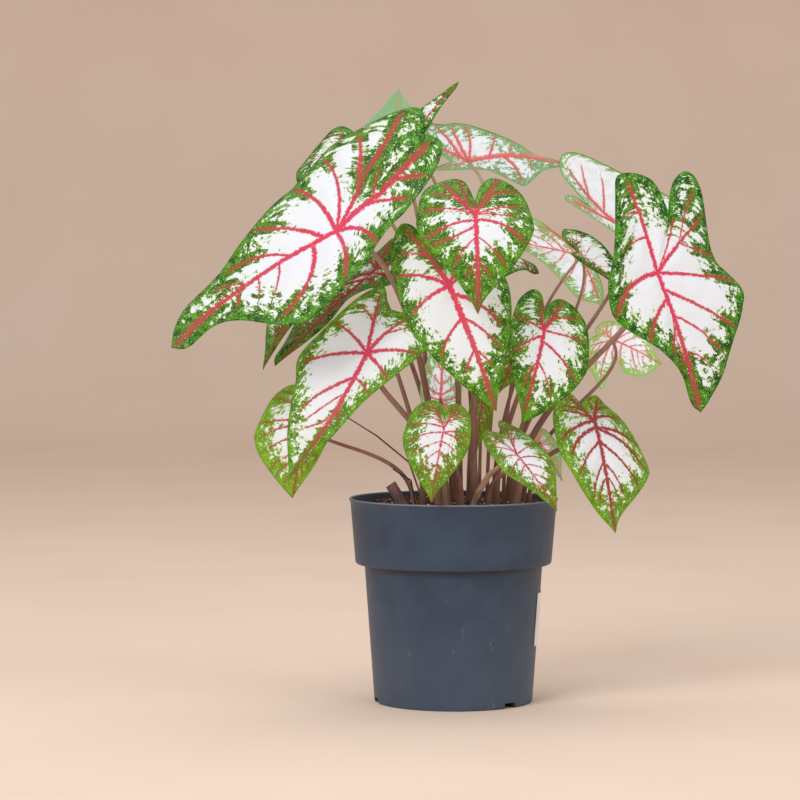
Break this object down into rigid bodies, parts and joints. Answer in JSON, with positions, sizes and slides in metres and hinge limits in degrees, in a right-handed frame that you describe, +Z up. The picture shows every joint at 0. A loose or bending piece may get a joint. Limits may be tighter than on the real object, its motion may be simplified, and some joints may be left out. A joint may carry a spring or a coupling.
{
  "type": "potted caladium plant",
  "caption": "Potted caladium: a leafy plant with white, green-edged arrow-shaped leaves on thin upright stalks, growing in a dark nursery pot full of potting mix.",
  "frame": {"origin": "centre of the pot's foot, on the ground it stands on", "axes": "+Z up; -Y towards the viewer of the front; +X to that viewer's right"},
  "size_m": [0.5594, 0.3447, 0.6232],
  "materials": {
    "blade": "satin",
    "petiole": "satin",
    "pot_plastic": "matt",
    "label": "matt",
    "potting_mix": "rough",
    "husk": "rough"
  },
  "bodies": {
    "root": {"blade_01": "blade", "blade_02": "blade", "blade_03": "blade", "blade_04": "blade", "blade_05": "blade", "blade_06": "blade", "blade_07": "blade", "blade_08": "blade", "blade_09": "blade", "blade_10": "blade", "blade_11": "blade", "blade_12": "blade", "blade_13": "blade", "blade_14": "blade", "blade_15": "blade", "blade_16": "blade", "blade_17": "blade", "blade_18": "blade", "blade_19": "blade", "blade_20": "blade", "blade_21": "blade", "blade_22": "blade", "blade_23": "blade", "blade_24": "blade", "blade_25": "blade", "blade_26": "blade", "petiole_01": "petiole", "petiole_02": "petiole", "petiole_03": "petiole", "petiole_04": "petiole", "petiole_05": "petiole", "petiole_06": "petiole", "petiole_07": "petiole", "petiole_08": "petiole", "petiole_09": "petiole", "petiole_10": "petiole", "petiole_11": "petiole", "petiole_12": "petiole", "petiole_13": "petiole", "petiole_14": "petiole", "petiole_15": "petiole", "petiole_16": "petiole", "petiole_17": "petiole", "petiole_18": "petiole", "petiole_19": "petiole", "petiole_20": "petiole", "petiole_21": "petiole", "petiole_22": "petiole", "petiole_23": "petiole", "petiole_24": "petiole", "petiole_25": "petiole", "petiole_26": "petiole", "pot": "pot_plastic", "pot_label": "label", "soil": "potting_mix", "sheath": "husk", "cut_stub": "husk", "twig": "husk", "thin_stalk": "husk"}
  },
  "joints": []
}
